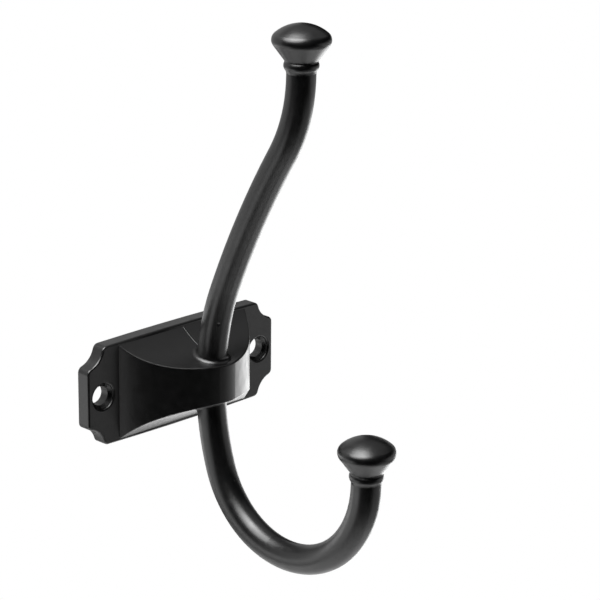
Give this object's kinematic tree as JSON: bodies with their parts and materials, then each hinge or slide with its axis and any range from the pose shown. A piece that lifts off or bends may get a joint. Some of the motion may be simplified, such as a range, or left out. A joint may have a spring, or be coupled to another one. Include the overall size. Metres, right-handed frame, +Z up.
{
  "type": "double robe hook",
  "caption": "Wall-mounted robe hook cast in one piece: a scooped back plate, a waisted bracket and a curved rod with a tall upper prong and a cup hook below, each ending in a turned finial.",
  "frame": {"origin": "middle of the plate's flat back face, on the wall", "axes": "+X along the plate's length, +Y into the wall, +Z up; the hook stands out from the wall towards -Y"},
  "size_m": [0.071, 0.0848, 0.1559],
  "materials": {
    "black_coat": "satin black baked coating over a smooth die casting"
  },
  "bodies": {
    "root": {"robe_hook": "black_coat"}
  },
  "joints": []
}
